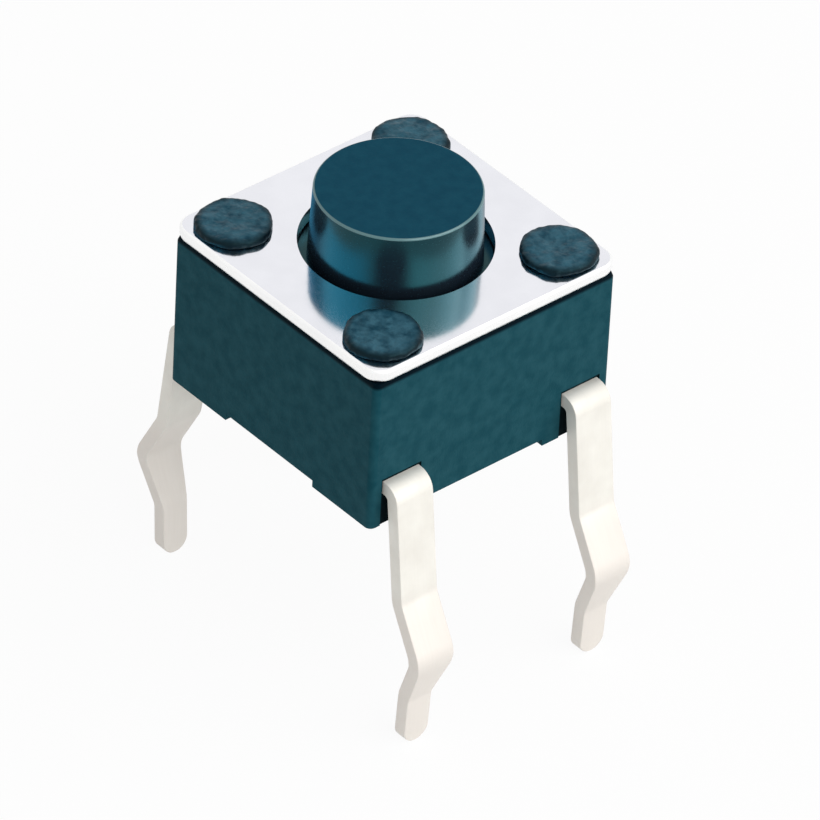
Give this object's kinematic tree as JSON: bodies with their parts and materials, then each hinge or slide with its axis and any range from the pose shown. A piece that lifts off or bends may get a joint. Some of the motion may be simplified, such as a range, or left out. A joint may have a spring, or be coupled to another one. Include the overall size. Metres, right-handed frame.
{
  "type": "tactile push button switch",
  "caption": "Square through-hole tactile switch with a round button, a staked steel cover and kinked snap-in leads.",
  "frame": {"origin": "centre of the four-lead pattern, in the plane of the circuit board that the feet stand on", "axes": "+Z out of the button, the two rows of leads at +X and -X, the leads of a row spaced along Y"},
  "size_m": [0.0086, 0.0062, 0.01],
  "materials": {
    "base_plastic": "dark teal moulded thermoplastic with a fine moulded grain",
    "cover_steel": "bright rolled steel plate",
    "button_plastic": "dark teal moulded plastic, glossy side and satin top",
    "dome_steel": "thin spring steel",
    "terminal_tin": "tin-plated brass, satin"
  },
  "bodies": {
    "housing": {"base": "base_plastic", "cover": "cover_steel", "snap_dome": "dome_steel", "terminal_centre": "terminal_tin", "terminal_rim": "terminal_tin"},
    "plunger": {"button": "button_plastic"}
  },
  "joints": [
    {"name": "button_press", "type": "slide", "parent": "housing", "child": "plunger", "axis": [0, 0, -1], "range_m": [0, 0.00025], "stiffness_N_per_m": 6280, "deforming": ["snap_dome"]}
  ]
}
